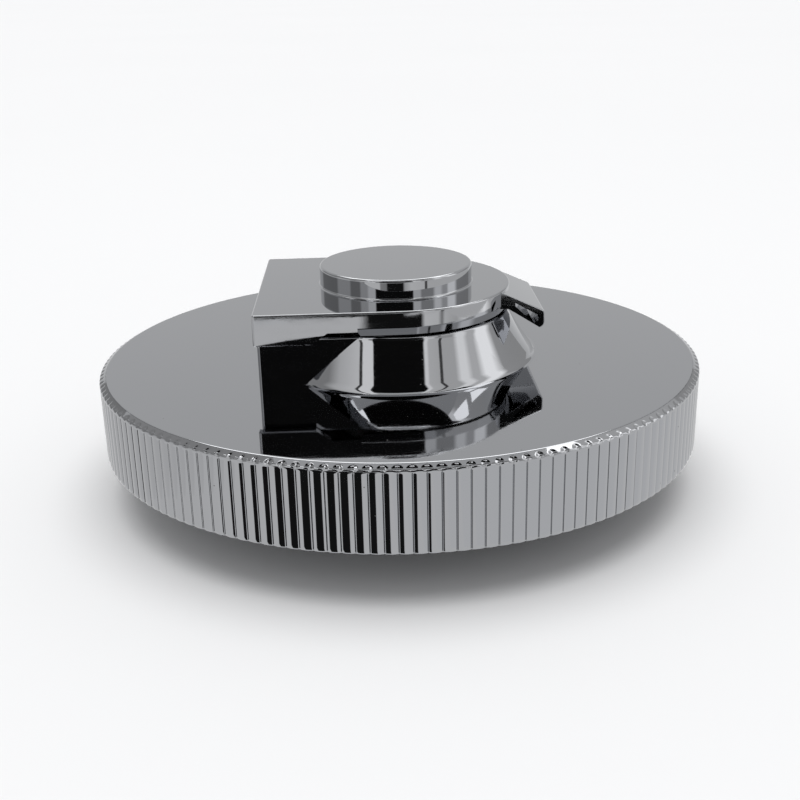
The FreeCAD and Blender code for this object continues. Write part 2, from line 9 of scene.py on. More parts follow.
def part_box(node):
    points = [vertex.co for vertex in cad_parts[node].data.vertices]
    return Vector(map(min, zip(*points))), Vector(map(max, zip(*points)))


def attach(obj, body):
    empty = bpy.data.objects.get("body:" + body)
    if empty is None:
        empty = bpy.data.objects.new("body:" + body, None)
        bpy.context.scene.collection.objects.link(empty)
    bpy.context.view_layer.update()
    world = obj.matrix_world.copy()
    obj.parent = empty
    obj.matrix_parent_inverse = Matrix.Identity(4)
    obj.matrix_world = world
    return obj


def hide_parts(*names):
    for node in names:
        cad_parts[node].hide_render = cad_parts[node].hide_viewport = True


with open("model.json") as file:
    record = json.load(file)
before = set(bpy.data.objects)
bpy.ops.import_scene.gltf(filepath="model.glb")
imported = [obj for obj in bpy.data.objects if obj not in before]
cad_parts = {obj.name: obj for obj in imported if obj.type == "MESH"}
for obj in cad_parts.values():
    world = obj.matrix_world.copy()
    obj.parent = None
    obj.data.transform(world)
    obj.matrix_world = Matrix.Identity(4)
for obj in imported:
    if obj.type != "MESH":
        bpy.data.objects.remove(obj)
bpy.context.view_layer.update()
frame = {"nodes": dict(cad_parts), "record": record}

# Lengths are in millimetres until an object is made, and MM turns them into metres
MM = 0.001


def mm_box(node):
    """Lowest and highest corner of a CAD node, in millimetres."""
    low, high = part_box(node)
    return low / MM, high / MM


shell_low, shell_high = mm_box("cap_shell")
lid_low, lid_high = mm_box("flip_lid")
pin_low, pin_high = mm_box("hinge_pin")

# Working values: how far joined solids overlap, how far a cut runs past a face, the radius that
# stands for none at a profile's axis, and the bevel of the CAD nodes that are shown
join_depth = 0.4
cut_reach = 1.0
axis_r = 0.01
soft_edge = 0.08

# Shell
shell_r = shell_high.x
skirt_z = shell_low.z
top_z = shell_high.z
plate_thick = 2.2
plate_z = top_z - plate_thick
skirt_inner_r = shell_r - 2.7
lock_hole_r = 8.0
reed_count = 160
reed_pitch = 2 * math.pi * shell_r / reed_count
reed_crown = 0.14
groove_half = 0.1
groove_depth = 0.12
reed_fade = (top_z - 1.15, top_z - 0.8)
dimple_half = 0.55
dimple_height = 0.3
dimple_depth = 0.14
dimple_z = top_z - 0.5
rim_slope_width = 1.05
rim_slope_height = 0.5
rim_edge_width = 0.18
rim_edge_height = 0.72
rim_round = 0.5
stiffener_count = 12
stiffener_turn = 15.0
stiffener_half = 0.6
stiffener_inner_r = 36.0
stiffener_depth = 4.0
post_x = 9.5
post_y = 16.45
post_r = 3.0
post_bore_r = 1.25
post_length = 8.35

# Boss
cone_base_r = 20.5
cone_top_r = 16.6
cone_hollow = 0.2
boss_z = top_z + 7.0
block_left = -20.2
block_half = 15.5
block_corner_r = 0.45
block_foot = 0.4
boss_edge_round = 0.35

# Lid
lid_left = lid_low.x
lid_half = lid_high.y
lid_arc_x = -0.15
lid_top_z = top_z + 10.8
lid_under_z = boss_z + 0.35
lid_wall = 1.2
lid_skin = 1.0
lid_edge_round = 0.28
lid_corner_r = 0.45
lid_corner_least_r = 0.12
dome_r = 11.4
dome_x = -0.2
dome_top_z = lid_high.z
dome_edge_round = 0.4
dome_foot_round = 0.32
dome_pocket_r = dome_r - 1.3
dome_pocket_z = dome_top_z - 1.1
ear_bottom_z = top_z + 6.35
ear_right_x = -12.5
notch_left_x = -10.3
notch_right_x = -6.1
notch_end_x = -5.7
notch_z = lid_under_z + 0.65
band_height = 1.2
band_depth = 0.43
cavity_run = 4.0
tab_half = 8.2
tab_root_x = 14.4
tab_inner_x = 11.4
tab_under_x = 15.7
tab_under_z = lid_under_z + 0.9
tab_curl_r = 0.9
tab_skin = 0.75
tab_end_x = lid_high.x
tab_end_z = top_z + 7.75
tab_low_z = lid_low.z

# Hinge
hinge_x = (pin_low.x + pin_high.x) / 2
hinge_z = (pin_low.z + pin_high.z) / 2
pin_r = (pin_high.z - pin_low.z) / 2
knuckle_r = 1.4
knuckle_y = (6.0, 15.4)
knuckle_edge = 0.12
web_depth = 0.6
web_inset = 0.1
pin_clearance = 0.05
bore_blind = 0.4
spring_room_r = 1.9
bore_reach = 20.0


# Meshes


def arc(cx, cy, r, start, end, steps):
    """Points of an arc in a plane, from one angle to another, in degrees."""
    points = []
    for i in range(steps + 1):
        a = math.radians(start + (end - start) * i / steps)
        points.append((cx + r * math.cos(a), cy + r * math.sin(a)))
    return points


def bridge(bm, rings, closed=False):
    """Faces between rings of vertices, with end caps unless the last ring joins the first."""
    count = len(rings[0])
    pairs = list(zip(rings, rings[1:]))
    if closed:
        pairs.append((rings[-1], rings[0]))
    for a, b in pairs:
        for i in range(count):
            j = (i + 1) % count
            bm.faces.new((a[i], a[j], b[j], b[i]))
    if not closed:
        bm.faces.new(list(reversed(rings[0])))
        bm.faces.new(rings[-1])


def add_rings(bm, rings, closed=False):
    """Adds a solid that runs through rings of points."""
    made = [[bm.verts.new(p) for p in ring] for ring in rings]
    bridge(bm, made, closed)


def add_revolved(bm, profile, columns=256, x=0.0, y=0.0, closed=True):
    """Adds the full turn of an (r, z) profile about an upright axis."""
    rings = []
    for r, z in profile:
        ring = []
        for i in range(columns):
            a = 2 * math.pi * i / columns
            ring.append((x + r * math.cos(a), y + r * math.sin(a), z))
        rings.append(ring)
    add_rings(bm, rings, closed)


def add_y_bar(bm, r, x, z, y0, y1, edge=0.0, columns=64):
    """Adds a round bar along Y with bevelled ends."""
    rings = []
    for y, ring_r in ((y0, r - edge), (y0 + edge, r), (y1 - edge, r), (y1, r - edge)):
        ring = []
        for i in range(columns):
            a = 2 * math.pi * i / columns
            ring.append((x + ring_r * math.sin(a), y, z + ring_r * math.cos(a)))
        rings.append(ring)
    if edge == 0.0:
        rings = [rings[0], rings[2]]
    add_rings(bm, rings)


def add_side_prism(bm, points, y0, y1):
    """Adds a prism along Y of a list of (x, z) corners."""
    add_rings(bm, [[(x, y, z) for x, z in points] for y in (y0, y1)])


def solid(build):
    """Mesh made by a function that fills a bmesh, with its faces turned outwards."""
    bm = bmesh.new()
    build(bm)
    bmesh.ops.recalc_face_normals(bm, faces=bm.faces)
    mesh = bpy.data.meshes.new("solid")
    bm.to_mesh(mesh)
    bm.free()
    return mesh


def boolean(base, operation, *others):
    """Mesh of a base solid after others are added to it or cut out of it."""
    for other in others:
        base_object = bpy.data.objects.new("base", base)
        tool = bpy.data.objects.new("tool", other)
        scene = bpy.context.scene
        scene.collection.objects.link(base_object)
        scene.collection.objects.link(tool)
        modifier = base_object.modifiers.new("cut", "BOOLEAN")
        modifier.operation = operation
        modifier.object = tool
        modifier.solver = "EXACT"
        evaluated = base_object.evaluated_get(bpy.context.evaluated_depsgraph_get())
        base = bpy.data.meshes.new_from_object(evaluated)
        bpy.data.objects.remove(base_object)
        bpy.data.objects.remove(tool)
    return base


def weigh_normals(obj):
    """Keeps the shading of flat faces even beside rounded edges."""
    modifier = obj.modifiers.new("normals", "WEIGHTED_NORMAL")
    modifier.keep_sharp = True


def piece(name, mesh, body, slot, *replaced, smooth):
    """Object of a finished mesh, smooth up to an angle, on a body in place of CAD nodes."""
    mesh.transform(Matrix.Scale(MM, 4))
    mesh.name = name
    mesh.polygons.foreach_set("use_smooth", [True] * len(mesh.polygons))
    mesh.set_sharp_from_angle(angle=math.radians(smooth))
    mesh.materials.clear()
    mesh.materials.append(MATERIALS[slot])
    obj = bpy.data.objects.new(name, mesh)
    bpy.context.scene.collection.objects.link(obj)
    weigh_normals(obj)
    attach(obj, body)
    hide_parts(*replaced)


# Materials


class Shader:
    """A Principled material and the nodes that feed it."""

    def __init__(self, name):
        self.material = bpy.data.materials.new(name)
        self.material.use_nodes = True
        self.nodes = self.material.node_tree.nodes
        self.links = self.material.node_tree.links
        self.surface = self.nodes["Principled BSDF"]
        self.place = self.node("ShaderNodeTexCoord").outputs["Object"]
        self.normal = None

    def node(self, kind, **values):
        made = self.nodes.new(kind)
        for key, value in values.items():
            setattr(made, key, value)
        return made

    def stretched(self, scale):
        """Object coordinates with a different scale along each axis."""
        mapping = self.node("ShaderNodeMapping")
        mapping.inputs["Scale"].default_value = scale
        self.links.new(self.place, mapping.inputs["Vector"])
        return mapping.outputs["Vector"]

    def noise(self, size, detail=2.0, place=None):
        """Noise whose features measure about a size in millimetres."""
        made = self.node("ShaderNodeTexNoise")
        made.inputs["Scale"].default_value = 1 / (size * MM)
        made.inputs["Detail"].default_value = detail
        self.links.new(place or self.place, made.inputs["Vector"])
        return made.outputs["Fac"]

    def specks(self, size, share):
        """Mask of small round specks, one in some cells of a given size in millimetres."""
        made = self.node("ShaderNodeTexVoronoi")
        made.inputs["Scale"].default_value = 1 / (size * MM)
        self.links.new(self.place, made.inputs["Vector"])
        return self.span(made.outputs["Distance"], share, share / 2, 0.0, 1.0)

    def span(self, value, from_min, from_max, to_min, to_max):
        """A value mapped from one range to another, and kept in it."""
        made = self.node("ShaderNodeMapRange")
        made.clamp = True
        self.links.new(value, made.inputs["Value"])
        for key, number in (
            ("From Min", from_min),
            ("From Max", from_max),
            ("To Min", to_min),
            ("To Max", to_max),
        ):
            made.inputs[key].default_value = number
        return made.outputs["Result"]

    def add(self, a, b):
        made = self.node("ShaderNodeMath", operation="ADD", use_clamp=True)
        self.links.new(a, made.inputs[0])
        self.links.new(b, made.inputs[1])
        return made.outputs[0]

    def edges(self, low, high):
        """Mask of the convex edges."""
        pointed = self.node("ShaderNodeNewGeometry").outputs["Pointiness"]
        return self.span(pointed, low, high, 0.0, 1.0)

    def bump(self, height, depth):
        """Bump of a real depth in millimetres, on top of the bumps before it."""
        made = self.node("ShaderNodeBump")
        made.inputs["Strength"].default_value = 1.0
        made.inputs["Distance"].default_value = depth * MM
        self.links.new(height, made.inputs["Height"])
        if self.normal:
            self.links.new(self.normal, made.inputs["Normal"])
        self.normal = made.outputs["Normal"]

    def colour(self, mask, first, second):
        """Base colour that goes from one colour to another with a mask."""
        made = self.node("ShaderNodeMix", data_type="RGBA")
        made.inputs[6].default_value = (*first, 1.0)
        made.inputs[7].default_value = (*second, 1.0)
        self.links.new(mask, made.inputs[0])
        self.links.new(made.outputs[2], self.surface.inputs["Base Color"])

    def finish(self, roughness, **constants):
        """Links the roughness and the bumps, and sets what is the same all over."""
        self.links.new(roughness, self.surface.inputs["Roughness"])
        if self.normal:
            self.links.new(self.normal, self.surface.inputs["Normal"])
        for key, value in constants.items():
            self.surface.inputs[key.replace("_", " ")].default_value = value
        return self.material


def chrome():
    """Bright chrome: a mirror with slight waves, plating specks and hairline wear."""
    s = Shader("chrome plate")
    waves = s.noise(14.0, 1.0)
    peel = s.noise(1.1, 2.0)
    specks = s.specks(3.2, 0.035)
    hairlines = s.noise(1.0, 3.0, s.stretched((0.25, 3.5, 1.0)))
    s.bump(waves, 0.022)
    s.bump(peel, 0.0008)
    s.colour(specks, (0.45, 0.457, 0.474), (0.16, 0.155, 0.15))
    rough = s.span(hairlines, 0.35, 0.8, 0.02, 0.07)
    rough = s.add(rough, s.span(specks, 0.0, 1.0, 0.0, 0.35))
    return s.finish(rough, Metallic=1.0)


def steel():
    """Zinc-plated steel: slightly dull, with a faint grain."""
    s = Shader("steel")
    grain = s.noise(0.25, 3.0, s.stretched((1.0, 0.3, 1.0)))
    s.bump(grain, 0.003)
    s.colour(s.noise(2.2), (0.50, 0.50, 0.49), (0.40, 0.41, 0.41))
    return s.finish(s.span(grain, 0.3, 0.8, 0.22, 0.42), Metallic=1.0)


def spring_steel():
    """Drawn spring wire: dark and smooth, with drawing marks."""
    s = Shader("spring steel")
    marks = s.noise(0.12, 2.0)
    s.bump(marks, 0.0015)
    s.colour(s.noise(0.8), (0.34, 0.335, 0.33), (0.24, 0.235, 0.235))
    return s.finish(s.span(marks, 0.3, 0.8, 0.2, 0.36), Metallic=1.0)


def zinc_cast():
    """Die-cast zinc: grey and satin, with a fine cast skin."""
    s = Shader("zinc casting")
    skin = s.noise(0.35, 4.0)
    s.bump(skin, 0.008)
    s.colour(s.noise(4.0, 3.0), (0.42, 0.425, 0.43), (0.33, 0.335, 0.345))
    return s.finish(s.span(skin, 0.3, 0.8, 0.3, 0.5), Metallic=1.0)


def brass():
    """Turned brass with fine turning marks and a slight tarnish."""
    s = Shader("brass")
    marks = s.noise(0.2, 2.0, s.stretched((1.0, 1.0, 6.0)))
    s.bump(marks, 0.002)
    s.colour(s.noise(3.0, 4.0), (0.68, 0.50, 0.22), (0.52, 0.36, 0.15))
    return s.finish(s.span(marks, 0.3, 0.8, 0.18, 0.38), Metallic=1.0)


def black_nylon():
    """Moulded black nylon: spark-eroded grain, lighter rubbed edges and faint flow marks."""
    s = Shader("black nylon")
    grain = s.noise(0.16, 3.0)
    flow = s.noise(9.0, 4.0, s.stretched((1.0, 2.5, 1.0)))
    s.bump(grain, 0.012)
    s.colour(s.edges(0.52, 0.6), (0.017, 0.017, 0.018), (0.05, 0.05, 0.052))
    rough = s.span(flow, 0.3, 0.75, 0.38, 0.55)
    return s.finish(rough, Specular_IOR_Level=0.5)


def black_rubber():
    """Black rubber with a fine matt skin and a little bloom."""
    s = Shader("black rubber")
    skin = s.noise(0.1, 3.0)
    s.bump(skin, 0.006)
    s.colour(s.noise(5.0, 5.0), (0.011, 0.011, 0.011), (0.026, 0.026, 0.027))
    return s.finish(s.span(skin, 0.3, 0.8, 0.62, 0.85), Specular_IOR_Level=0.35)


MATERIALS = {
    "chrome_plate": chrome(),
    "steel": steel(),
    "spring_steel": spring_steel(),
    "zinc_cast": zinc_cast(),
    "brass": brass(),
    "black_nylon": black_nylon(),
    "black_rubber": black_rubber(),
}


# Shell


def fade(value, start, end):
    """1 before start, 0 after end, and a smooth step between them."""
    t = min(max((value - start) / (end - start), 0.0), 1.0)
    return 1 - t * t * (3 - 2 * t)


def reed_inset(s, z):
    """Depth of the skirt inside the shell's radius, by distance from a groove and height."""
    half_pitch = reed_pitch / 2
    reed = reed_crown * (1 - abs(s) / half_pitch) ** 2
    if abs(s) < groove_half:
        reed += groove_depth * (1 + math.cos(math.pi * s / groove_half)) / 2
    dimple = 1 - (s / dimple_half) ** 2 - ((z - dimple_z) / dimple_height) ** 2
    return reed * fade(z, *reed_fade) + dimple_depth * max(dimple, 0.0)


def reed_columns():
    """Angle and distance from its groove of each column of the skirt's outside."""
    half = [0.0, 0.035, 0.07, 0.11, 0.17, 0.3, 0.45, 0.58, 0.72, reed_pitch / 2]
    offsets = [-s for s in reversed(half[1:-1])] + half
    columns = []
    for i in range(reed_count):
        for s in offsets:
            columns.append((2 * math.pi * i / reed_count + s / shell_r, s))
    return columns


def between(start, end, count):
    """Evenly spaced values from a start, without the end."""
    return [start + (end - start) * i / count for i in range(count)]


def shell_rows():
    """(radius, height, share of the reeds' depth) of each ring round the shell's section."""
    inner_round = 1.0
    lower_z = skirt_z + 0.6
    outer_edge = 0.22
    rows = [
        (lock_hole_r, plate_z, 0),
        (skirt_inner_r - inner_round, plate_z, 0),
        (skirt_inner_r - 0.3, plate_z - 0.1, 0),
        (skirt_inner_r - 0.1, plate_z - 0.3, 0),
        (skirt_inner_r, plate_z - inner_round, 0),
        (skirt_inner_r, lower_z, 0),
        (skirt_inner_r, skirt_z + 0.2, 0),
        (skirt_inner_r + 0.2, skirt_z, 0),
        (shell_r - 0.7, skirt_z, 0),
        (shell_r - outer_edge, skirt_z, 1),
        (shell_r - 0.07, skirt_z + 0.06, 1),
        (shell_r, skirt_z + outer_edge, 1),
    ]
    fade_z = reed_fade[0]
    edge_z = top_z - rim_edge_height
    for z in between(lower_z, fade_z, 4) + between(fade_z, edge_z, 16):
        rows.append((shell_r, z, 1))
    rows.append((shell_r, edge_z, 1))
    slope = math.atan(rim_slope_height / (rim_slope_width - rim_edge_width))
    crease_r = shell_r - rim_slope_width
    low_r = shell_r - rim_edge_width
    low_z = top_z - rim_slope_height
    rows.append((shell_r - 0.06, edge_z + 0.13, 1))
    rows.append((low_r + 0.03, low_z, 1))
    for t in between(0.0, 1.0, 14)[1:]:
        rows.append((low_r + (crease_r - low_r) * t, low_z + rim_slope_height * t, 1))
    flat_r = crease_r - rim_round * math.tan(slope / 2)
    start = 90 - math.degrees(slope)
    for r, z in arc(flat_r, top_z - rim_round, rim_round, start, 90, 4):
        rows.append((r, z, 0))
    rows.append((flat_r - 0.15, top_z, 0))
    rows.append((cone_base_r, top_z, 0))
    rows.append((lock_hole_r, top_z, 0))
    return rows


def shell_section(bm):
    rings = []
    columns = reed_columns()
    for r, z, share in shell_rows():
        ring = []
        for angle, s in columns:
            inset = reed_inset(s, z) * share
            ring.append(((r - inset) * math.cos(angle), (r - inset) * math.sin(angle), z))
        rings.append(ring)
    add_rings(bm, rings, closed=True)


def shell_ribs(bm):
    """Stiffeners between the plate and the skirt, with rounded free edges."""
    low = plate_z - stiffener_depth
    edge = 0.25
    levels = [(edge, low), (0.07, low + 0.07), (0.0, low + edge), (0.0, plate_z + join_depth)]
    for i in range(stiffener_count):
        angle = math.radians(stiffener_turn + i * 360 / stiffener_count)
        turn = Matrix.Rotation(angle, 3, "Z")
        rings = []
        for inset, z in levels:
            x0 = stiffener_inner_r + inset
            x1 = skirt_inner_r + join_depth
            y = stiffener_half - inset
            corners = [(x0, -y), (x1, -y), (x1, y), (x0, y)]
            rings.append([turn @ Vector((cx, cy, z)) for cx, cy in corners])
        add_rings(bm, rings)


def shell_posts(bm):
    """Screw posts under the plate."""
    low = plate_z - post_length
    high = plate_z + join_depth
    edge = 0.15
    profile = [(post_bore_r, high), (post_bore_r, low), (post_r - edge, low)]
    profile += [(post_r, low + edge), (post_r, high)]
    for side_x, side_y in ((1, 1), (-1, 1), (-1, -1), (1, -1)):
        add_revolved(bm, profile, 48, side_x * post_x, side_y * post_y)


def make_shell():
    def build(bm):
        shell_section(bm)
        shell_ribs(bm)
        shell_posts(bm)

    piece("shell", solid(build), "cap", "chrome_plate", "cap_shell", smooth=50)


# Boss


def cone_profile():
    """Outline of the cone: a flare at the foot, a slightly hollow flank and a rounded top."""
    profile = [(cone_base_r + 0.55, top_z), (cone_base_r + 0.2, top_z + 0.05)]
    profile += [(cone_base_r - 0.05, top_z + 0.3)]
    steps = 12
    edge_r = cone_top_r + 0.06
    start = Vector((cone_base_r - 0.17, top_z + 0.55))
    end = Vector((edge_r, boss_z - boss_edge_round))
    for i in range(steps + 1):
        t = i / steps
        point = start.lerp(end, t)
        profile.append((point.x - cone_hollow * 4 * t * (1 - t), point.y))
    round_r = boss_edge_round * 0.87
    centre_r = edge_r - round_r
    profile += arc(centre_r, boss_z - boss_edge_round, round_r, 15, 90, 5)[1:-1]
    profile.append((centre_r, boss_z))
    return profile


def rounded_box_rings(x0, x1, half, corner_r, levels):
    """Rings of a box with rounded left corners, one for each (inset, z)."""
    rings = []
    for inset, z in levels:
        r = corner_r - inset
        ring = [(x1, -half + inset, z)]
        ring += [(x, y, z) for x, y in arc(x0 + corner_r, -half + corner_r, r, 270, 180, 8)]
        ring += [(x, y, z) for x, y in arc(x0 + corner_r, half - corner_r, r, 180, 90, 8)]
        ring.append((x1, half - inset, z))
        rings.append(ring)
    return rings


def edge_levels(z, r, steps=4):
    """(inset, z) levels of a rounded top edge."""
    return [(r - x, y) for x, y in arc(0.0, z - r, r, 0, 90, steps)]


def make_boss():
    def cone(bm):
        outline = [(axis_r, top_z)] + cone_profile() + [(axis_r, boss_z)]
        add_revolved(bm, outline, 384, closed=False)

    def block(bm):
        levels = [(0.0, top_z), (0.0, top_z + block_foot)]
        levels += edge_levels(boss_z, boss_edge_round)
        add_rings(bm, rounded_box_rings(block_left, 0.0, block_half, block_corner_r, levels))

    inner_y, outer_y = knuckle_y
    spans = ((-outer_y, -inner_y), (inner_y, outer_y))

    def knuckles(bm):
        for y0, y1 in spans:
            add_y_bar(bm, knuckle_r, hinge_x, hinge_z, y0, y1, knuckle_edge)

    def webs(bm):
        """Metal between the block's top and each knuckle."""
        left = hinge_x - block_corner_r / 2
        right = hinge_x + knuckle_r - 0.02
        low = boss_z - web_depth
        outline = [(left, low), (right, low), (right, hinge_z), (left, hinge_z)]
        for y0, y1 in spans:
            add_side_prism(bm, outline, y0 + web_inset, y1 - web_inset)

    def bores(bm):
        add_y_bar(bm, pin_r, hinge_x, hinge_z, -bore_reach, bore_reach)

    def spring_room(bm):
        add_y_bar(bm, spring_room_r, hinge_x, hinge_z, -inner_y, inner_y)

    def lock_hole(bm):
        low, high = top_z - cut_reach, boss_z + cut_reach
        add_revolved(bm, [(lock_hole_r, low), (lock_hole_r, high)], 128, closed=False)

    mesh = boolean(solid(block), "UNION", solid(cone), solid(webs), solid(knuckles))
    mesh = boolean(mesh, "DIFFERENCE", solid(spring_room), solid(bores), solid(lock_hole))
    piece("boss", mesh, "cap", "chrome_plate", "lock_boss", smooth=30)


# Lid


def lid_ring(inset, z, left=None):
    """Ring of the lid's outline: straight sides, a round end and tight left corners."""
    half = lid_half - inset
    x0 = (lid_left if left is None else left) + inset
    r = max(lid_corner_r - inset, lid_corner_least_r)
    ring = [(x, y, z) for x, y in arc(x0 + r, -half + r, r, 180, 270, 5)]
    ring += [(x, y, z) for x, y in arc(lid_arc_x, 0.0, half, -90, 90, 120)]
    ring += [(x, y, z) for x, y in arc(x0 + r, half - r, r, 90, 180, 5)]
    return ring


def lid_plate(bm):
    edge = 0.12
    levels = [(edge, ear_bottom_z), (0.0, ear_bottom_z + edge)]
    levels += edge_levels(lid_top_z, lid_edge_round, 5)
    add_rings(bm, [lid_ring(inset, z) for inset, z in levels])


def lid_dome(bm):
    foot_r = dome_r + dome_foot_round
    edge_r = dome_r - dome_edge_round
    profile = [(axis_r, lid_top_z - lid_skin), (foot_r, lid_top_z - lid_skin)]
    profile += arc(foot_r, lid_top_z + dome_foot_round, dome_foot_round, 270, 180, 6)
    profile += arc(edge_r, dome_top_z - dome_edge_round, dome_edge_round, 0, 90, 7)
    profile += [(edge_r - 0.15, dome_top_z), (axis_r, dome_top_z)]
    add_revolved(bm, profile, 320, dome_x, closed=False)


def tab_outline():
    """Side outline of the thumb tab: slope, curled end and the way back up to the lid's wall."""
    outline = [(tab_root_x, lid_top_z), (tab_end_x - 0.35, tab_end_z + 0.16)]
    outline += [(tab_end_x - 0.08, tab_end_z - 0.05), (tab_end_x, tab_end_z - 0.4)]
    outline += arc(tab_end_x - tab_curl_r, tab_low_z + tab_curl_r, tab_curl_r, 0, -80, 8)
    outline += [(tab_under_x, tab_under_z), (tab_inner_x, tab_under_z), (tab_inner_x, lid_top_z)]
    return outline


def tab_hollow():
    """Side outline of the room inside the tab, from the lid's round end to its curled end."""
    return [
        (lid_arc_x + lid_half, lid_top_z - 1.75),
        (tab_end_x - tab_skin, tab_end_z - tab_skin),
        (tab_end_x - tab_skin, tab_low_z + 1.3),
        (tab_end_x - 1.6, tab_low_z + tab_skin),
        (lid_arc_x + lid_half, lid_under_z + 1.2),
    ]


def lid_tab(bm):
    """Tab with rounded side edges: the outline shrinks a little towards each side."""
    outline = tab_outline()
    middle = Vector((sum(x for x, _ in outline), sum(z for _, z in outline))) / len(outline)
    rings = []
    edge = ((0.0, 0.18), (0.06, 0.06), (0.2, 0.0))
    for inset, shrink in edge:
        rings.append(tab_ring(outline, middle, inset - tab_half, shrink))
    for inset, shrink in reversed(edge):
        rings.append(tab_ring(outline, middle, tab_half - inset, shrink))
    add_rings(bm, rings)


def tab_ring(outline, middle, y, shrink):
    """Ring of the tab, drawn in towards its middle where it stands out of the lid."""
    ring = []
    for x, z in outline:
        inward = (middle - Vector((x, z))).normalized() * shrink
        inside = x <= tab_root_x
        ring.append((x, y, z) if inside else (x + inward.x, y, z + inward.y))
    return ring


def lid_band(bm):
    """Ring that cuts the lower edge of the wall back to a slope, right of the notch."""
    outside = -0.6
    band_z = lid_under_z + band_height
    low = lid_under_z - cut_reach
    section = [(outside, band_z), (0.0, band_z), (0.008, band_z - 0.08), (0.03, band_z - 0.14)]
    section += [(band_depth, lid_under_z), (band_depth, low), (outside, low)]
    path = [(notch_right_x, -lid_half, 0.0, -1.0)]
    for nx, ny in arc(0.0, 0.0, 1.0, -90, 90, 120):
        path.append((lid_arc_x + lid_half * nx, lid_half * ny, nx, ny))
    path.append((notch_right_x, lid_half, 0.0, 1.0))
    rings = []
    for x, y, nx, ny in path:
        rings.append([(x - nx * inset, y - ny * inset, z) for inset, z in section])
    add_rings(bm, rings)


def make_lid():
    def cut_away(bm):
        """All under the wall's lower edge: ears at the hinge, a notch, then a straight edge."""
        low = ear_bottom_z - cut_reach
        far_x = 30.0
        outline = [
            (ear_right_x, low),
            (ear_right_x, ear_bottom_z),
            (notch_left_x, notch_z),
            (notch_right_x, notch_z),
            (notch_end_x, lid_under_z),
            (far_x, lid_under_z),
            (far_x, low),
        ]
        add_side_prism(bm, outline, -lid_half - cut_reach, lid_half + cut_reach)

    def cavity(bm):
        heights = (ear_bottom_z - 2 * cut_reach, lid_top_z - lid_skin)
        add_rings(bm, [lid_ring(lid_wall, z, lid_left - cavity_run) for z in heights])

    def pocket(bm):
        low = ear_bottom_z - 2 * cut_reach
        add_revolved(bm, [(dome_pocket_r, low), (dome_pocket_r, dome_pocket_z)], 160, closed=False)

    def hollow(bm):
        add_side_prism(bm, tab_hollow(), -tab_half - cut_reach, tab_half + cut_reach)

    def bore(bm):
        y0, y1 = bore_blind - lid_half, lid_half + cut_reach
        add_y_bar(bm, pin_r + pin_clearance, hinge_x, hinge_z, y0, y1)

    tab = boolean(solid(lid_tab), "DIFFERENCE", solid(hollow))
    mesh = boolean(solid(lid_plate), "DIFFERENCE", solid(cut_away), solid(lid_band))
    mesh = boolean(mesh, "UNION", solid(lid_dome), tab)
    mesh = boolean(mesh, "DIFFERENCE", solid(cavity), solid(pocket), solid(bore))
    piece("lid", mesh, "lid", "chrome_plate", "flip_lid", smooth=30)


# CAD nodes that are shown as they are


def dress_nodes():
    """Gives each CAD node its slot's material and soft edges."""
    slots = {part["node"]: part["material_slot"] for part in frame["record"]["subparts"]}
    for name, node in frame["nodes"].items():
        node.data.materials.clear()
        node.data.materials.append(MATERIALS[slots[name]])
        if not node.hide_render:
            bevel = node.modifiers.new("soft edges", "BEVEL")
            bevel.width = soft_edge * MM
            bevel.segments = 2
            bevel.limit_method = "ANGLE"
            bevel.angle_limit = math.radians(40)
            weigh_normals(node)


# Studio


def stage_object(name, mesh, material):
    mesh.transform(Matrix.Scale(MM, 4))
    mesh.materials.append(material)
    obj = bpy.data.objects.new(name, mesh)
    bpy.context.scene.collection.objects.link(obj)
    return obj


def card(name, mesh, material):
    """Card of light that only shows as a reflection."""
    obj = stage_object(f"card {name}", mesh, material)
    obj.visible_camera = False
    obj.visible_diffuse = False
    obj.visible_shadow = False
    obj.visible_transmission = False


def glow(name, strength):
    """Material that gives an even light and reflects none."""
    material = bpy.data.materials.new(name)
    material.use_nodes = True
    nodes = material.node_tree.nodes
    nodes.clear()
    emission = nodes.new("ShaderNodeEmission")
    emission.inputs["Color"].default_value = (strength, strength, strength, 1)
    output = nodes.new("ShaderNodeOutputMaterial")
    material.node_tree.links.new(emission.outputs[0], output.inputs["Surface"])
    return material


def floor_material():
    """Pale matt floor that is clear when seen from below."""
    s = Shader("pale floor")
    s.colour(s.noise(400.0, 2.0), (0.86, 0.86, 0.865), (0.84, 0.84, 0.845))
    side = s.node("ShaderNodeNewGeometry").outputs["Backfacing"]
    clear = s.node("ShaderNodeMixShader")
    s.links.new(side, clear.inputs["Fac"])
    s.links.new(s.surface.outputs["BSDF"], clear.inputs[1])
    s.links.new(s.node("ShaderNodeBsdfTransparent").outputs["BSDF"], clear.inputs[2])
    s.links.new(clear.outputs["Shader"], s.nodes["Material Output"].inputs["Surface"])
    return s.finish(s.span(s.noise(8.0), 0.0, 1.0, 0.85, 0.95), Specular_IOR_Level=0.2)


def varied_glow():
    """Material whose light follows the card's own level at each point."""
    material = glow("varied card", 1.0)
    nodes = material.node_tree.nodes
    level = nodes.new("ShaderNodeAttribute")
    level.attribute_name = "level"
    material.node_tree.links.new(level.outputs["Fac"], nodes["Emission"].inputs["Strength"])
    return material


view_turn = math.radians(-1.6)
card_r = 300.0

